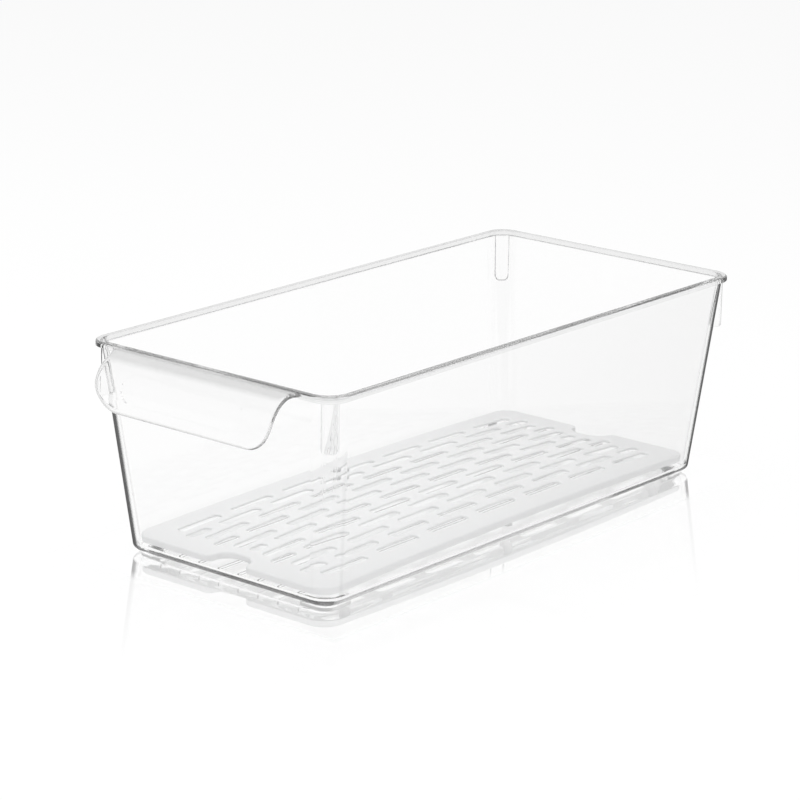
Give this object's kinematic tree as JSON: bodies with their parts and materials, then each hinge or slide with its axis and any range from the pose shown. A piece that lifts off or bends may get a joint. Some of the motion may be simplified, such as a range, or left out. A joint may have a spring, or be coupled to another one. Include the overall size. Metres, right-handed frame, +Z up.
{
  "type": "fridge bin with drain tray",
  "caption": "Clear oblong pull-out bin with leaning walls, a bent-down finger lip at the front and a slotted white drain tray that lifts out.",
  "frame": {"origin": "on the ground, under the middle of the whole bin, finger lip included", "axes": "+Z up, -Y towards the finger lip at the front, +X to the right for someone who faces the lip's back from inside the bin and looks along +Y"},
  "size_m": [0.15, 0.3226, 0.1031],
  "materials": {
    "clear_plastic": "clear, polished moulding",
    "white_plastic": "satin moulding"
  },
  "bodies": {
    "bin": {"clear_bin": "clear_plastic"},
    "tray": {"drain_tray": "white_plastic"}
  },
  "joints": [
    {"name": "tray_lift", "type": "slide", "parent": "bin", "child": "tray", "axis": [0, 0, 1], "range_m": [0, 0.11]}
  ]
}
